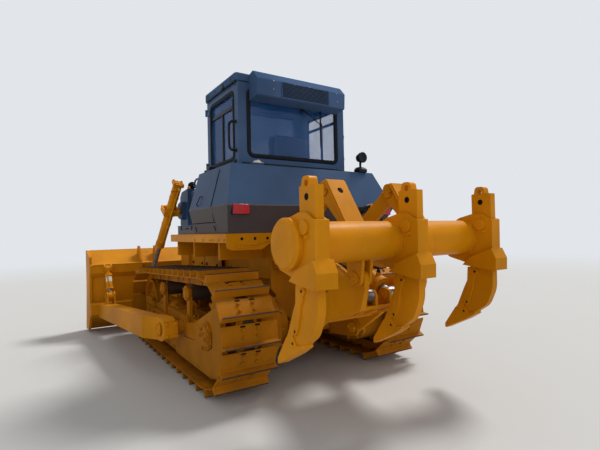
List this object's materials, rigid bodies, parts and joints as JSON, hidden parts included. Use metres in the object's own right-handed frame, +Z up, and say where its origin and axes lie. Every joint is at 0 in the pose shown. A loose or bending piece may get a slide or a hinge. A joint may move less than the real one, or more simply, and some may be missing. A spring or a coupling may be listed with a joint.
{
  "type": "crawler bulldozer with three-shank ripper",
  "caption": "Yellow crawler bulldozer on oval tracks with a hinged straight blade, closed cab with swinging doors and a parallelogram rear ripper moved by cylinders.",
  "frame": {"origin": "on the ground under the middle of the machine's overall box, midway between the tracks", "axes": "+X forward to the blade, +Y to the machine's left, +Z up"},
  "size_m": [5.6926, 3.734, 3.345],
  "materials": {
    "yellow_paint": "satin",
    "black_paint": "satin",
    "worn_yellow": "worn",
    "chrome_rod": "polished",
    "white_paint": "satin",
    "window_glass": "gloss",
    "seat_fabric": "matte",
    "dark_plastic": "matte",
    "slate_paint": "satin",
    "engine_paint": "matte"
  },
  "bodies": {
    "tractor": {"main_frame": "yellow_paint", "equalizer_bar": "yellow_paint", "engine_block": "engine_paint", "track_frame_left": "yellow_paint", "track_frame_right": "yellow_paint", "track_left": "worn_yellow", "track_right": "worn_yellow", "sprockets": "worn_yellow", "idlers": "worn_yellow", "track_rollers": "worn_yellow", "final_drives": "yellow_paint", "fenders": "yellow_paint", "fuel_tank": "slate_paint", "consoles": "slate_paint", "cab_shell": "slate_paint", "cab_roof": "slate_paint", "cab_glass": "window_glass", "air_conditioner": "slate_paint", "seat": "seat_fabric", "control_console": "dark_plastic", "hood": "slate_paint", "radiator_guard": "yellow_paint", "grille": "black_paint", "radiator_core": "black_paint", "exhaust": "black_paint", "pre_cleaner": "black_paint", "work_lamp": "black_paint", "ripper_mount": "yellow_paint"},
    "blade_frame": {"blade": "yellow_paint", "push_arms": "yellow_paint", "brace_left": "yellow_paint", "brace_right": "yellow_paint"},
    "lift_yoke_left": {"lift_yoke_left": "yellow_paint"},
    "lift_yoke_right": {"lift_yoke_right": "yellow_paint"},
    "lift_barrel_left": {"lift_barrel_left": "yellow_paint"},
    "lift_barrel_right": {"lift_barrel_right": "yellow_paint"},
    "lift_rod_left": {"lift_rod_left": "chrome_rod"},
    "lift_rod_right": {"lift_rod_right": "chrome_rod"},
    "ripper_lower_arm": {"ripper_arm": "yellow_paint"},
    "ripper_frame": {"ripper_beam": "yellow_paint", "ripper_shanks": "yellow_paint"},
    "ripper_upper_links": {"ripper_links": "yellow_paint"},
    "ripper_cylinders": {"ripper_barrels": "yellow_paint"},
    "ripper_piston_rods": {"ripper_rods": "chrome_rod"},
    "cab_door_left": {"door_left": "slate_paint", "door_glass_left": "window_glass"},
    "cab_door_right": {"door_right": "slate_paint", "door_glass_right": "window_glass"}
  },
  "joints": [
    {"name": "blade_lift", "type": "hinge", "parent": "tractor", "child": "blade_frame", "pos_m": [-0.33, 0, 0.53], "axis": [0, -1, 0], "range_deg": [-7, 18.5]},
    {"name": "lift_yoke_left_turn", "type": "hinge", "parent": "tractor", "child": "lift_yoke_left", "pos_m": [1.63, 0.78, 1.95], "axis": [0, -1, 0], "range_deg": [-7.69, 20.33]},
    {"name": "lift_barrel_left_swing", "type": "hinge", "parent": "lift_yoke_left", "child": "lift_barrel_left", "pos_m": [1.63, 0.78, 1.95], "axis": [0.8489, 0, 0.5285], "range_deg": [-2.01, 5.31]},
    {"name": "lift_rod_left_slide", "type": "slide", "parent": "lift_barrel_left", "child": "lift_rod_left", "axis": [0.5246, 0.1213, -0.8427], "range_m": [-0.7802, 0.2953]},
    {"name": "lift_yoke_right_turn", "type": "hinge", "parent": "tractor", "child": "lift_yoke_right", "pos_m": [1.63, -0.78, 1.95], "axis": [0, -1, 0], "range_deg": [-7.69, 20.33]},
    {"name": "lift_barrel_right_swing", "type": "hinge", "parent": "lift_yoke_right", "child": "lift_barrel_right", "pos_m": [1.63, -0.78, 1.95], "axis": [-0.8489, 0, -0.5285], "range_deg": [-2.01, 5.31]},
    {"name": "lift_rod_right_slide", "type": "slide", "parent": "lift_barrel_right", "child": "lift_rod_right", "axis": [0.5246, -0.1213, -0.8427], "range_m": [-0.7802, 0.2953]},
    {"name": "ripper_lift", "type": "hinge", "parent": "tractor", "child": "ripper_lower_arm", "pos_m": [-1.52, 0, 0.52], "axis": [0, 1, 0], "range_deg": [-66, 3]},
    {"name": "ripper_beam_level", "type": "hinge", "parent": "ripper_lower_arm", "child": "ripper_frame", "pos_m": [-2.4, 0, 1.18], "axis": [0, -1, 0], "range_deg": [-66.33, 3.02]},
    {"name": "ripper_link_turn", "type": "hinge", "parent": "tractor", "child": "ripper_upper_links", "pos_m": [-1.19, 0, 1.28], "axis": [0, 1, 0], "range_deg": [-66.33, 3.02]},
    {"name": "ripper_cylinder_turn", "type": "hinge", "parent": "tractor", "child": "ripper_cylinders", "pos_m": [-1.18, 0, 1.44], "axis": [0, 1, 0], "range_deg": [-30.03, 1.37]},
    {"name": "ripper_rod_slide", "type": "slide", "parent": "ripper_cylinders", "child": "ripper_piston_rods", "axis": [-0.9187, 0, -0.395], "range_m": [-0.0299, 0.6554]},
    {"name": "door_left_hinge", "type": "hinge", "parent": "tractor", "child": "cab_door_left", "pos_m": [0.03, 0.751, 2.6], "axis": [0, 0, -1], "range_deg": [0, 85]},
    {"name": "door_right_hinge", "type": "hinge", "parent": "tractor", "child": "cab_door_right", "pos_m": [0.03, -0.751, 2.6], "axis": [0, 0, 1], "range_deg": [0, 85]}
  ],
  "couplings": [
    {"joint": "lift_yoke_left_turn", "follows": "blade_lift", "ratio": 1.0772},
    {"joint": "lift_barrel_left_swing", "follows": "blade_lift", "ratio": 0.28151},
    {"joint": "lift_rod_left_slide", "follows": "blade_lift", "m_per_rad": -2.3687},
    {"joint": "lift_yoke_right_turn", "follows": "blade_lift", "ratio": 1.0772},
    {"joint": "lift_barrel_right_swing", "follows": "blade_lift", "ratio": 0.28151},
    {"joint": "lift_rod_right_slide", "follows": "blade_lift", "m_per_rad": -2.3687},
    {"joint": "ripper_beam_level", "follows": "ripper_lift", "ratio": 1},
    {"joint": "ripper_link_turn", "follows": "ripper_lift", "ratio": 1},
    {"joint": "ripper_cylinder_turn", "follows": "ripper_lift", "ratio": 0.44612},
    {"joint": "ripper_rod_slide", "follows": "ripper_lift", "m_per_rad": -0.55772}
  ]
}
